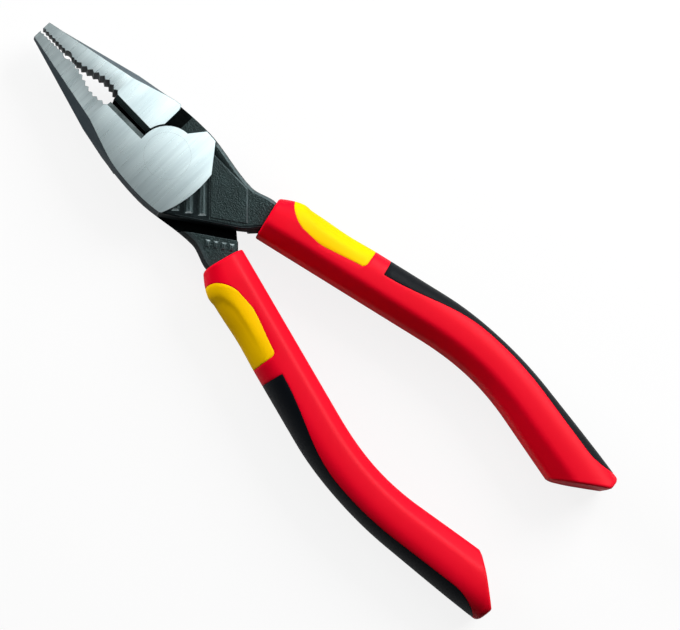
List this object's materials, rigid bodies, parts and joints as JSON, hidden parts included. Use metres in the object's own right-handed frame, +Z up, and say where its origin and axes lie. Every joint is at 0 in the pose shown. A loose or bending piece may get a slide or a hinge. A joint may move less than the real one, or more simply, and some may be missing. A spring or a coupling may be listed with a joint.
{
  "type": "combination pliers",
  "caption": "Forged lap-joint combination pliers with serrated jaws, pipe grip, side cutter and bent handles in red, yellow and black moulded grips.",
  "frame": {"origin": "on the floor, below the middle of the box round the pliers as they lie flat on their grips", "axes": "+X along the pliers from the jaw tips to the handle ends, +Y to the right handle, +Z up along the pivot axis, out of the front face"},
  "size_m": [0.1594, 0.051, 0.0136],
  "materials": {
    "forged_steel": "cross-ground faces, black phosphated forging elsewhere",
    "rivet_steel": "ground flush",
    "red_sleeve": "satin moulded",
    "yellow_pad": "satin moulded",
    "black_strip": "matt moulded"
  },
  "bodies": {
    "front": {"front_half": "forged_steel", "pivot_rivet": "rivet_steel", "right_grip_sleeve": "red_sleeve", "right_grip_pad": "yellow_pad", "right_grip_strip": "black_strip"},
    "rear": {"rear_half": "forged_steel", "left_grip_sleeve": "red_sleeve", "left_grip_pad": "yellow_pad", "left_grip_strip": "black_strip"}
  },
  "joints": [
    {"name": "jaw_pivot", "type": "hinge", "parent": "front", "child": "rear", "pos_m": [-0.0404, 0, 0.0068], "axis": [0, 0, -1], "range_deg": [-0.9, 38]}
  ]
}
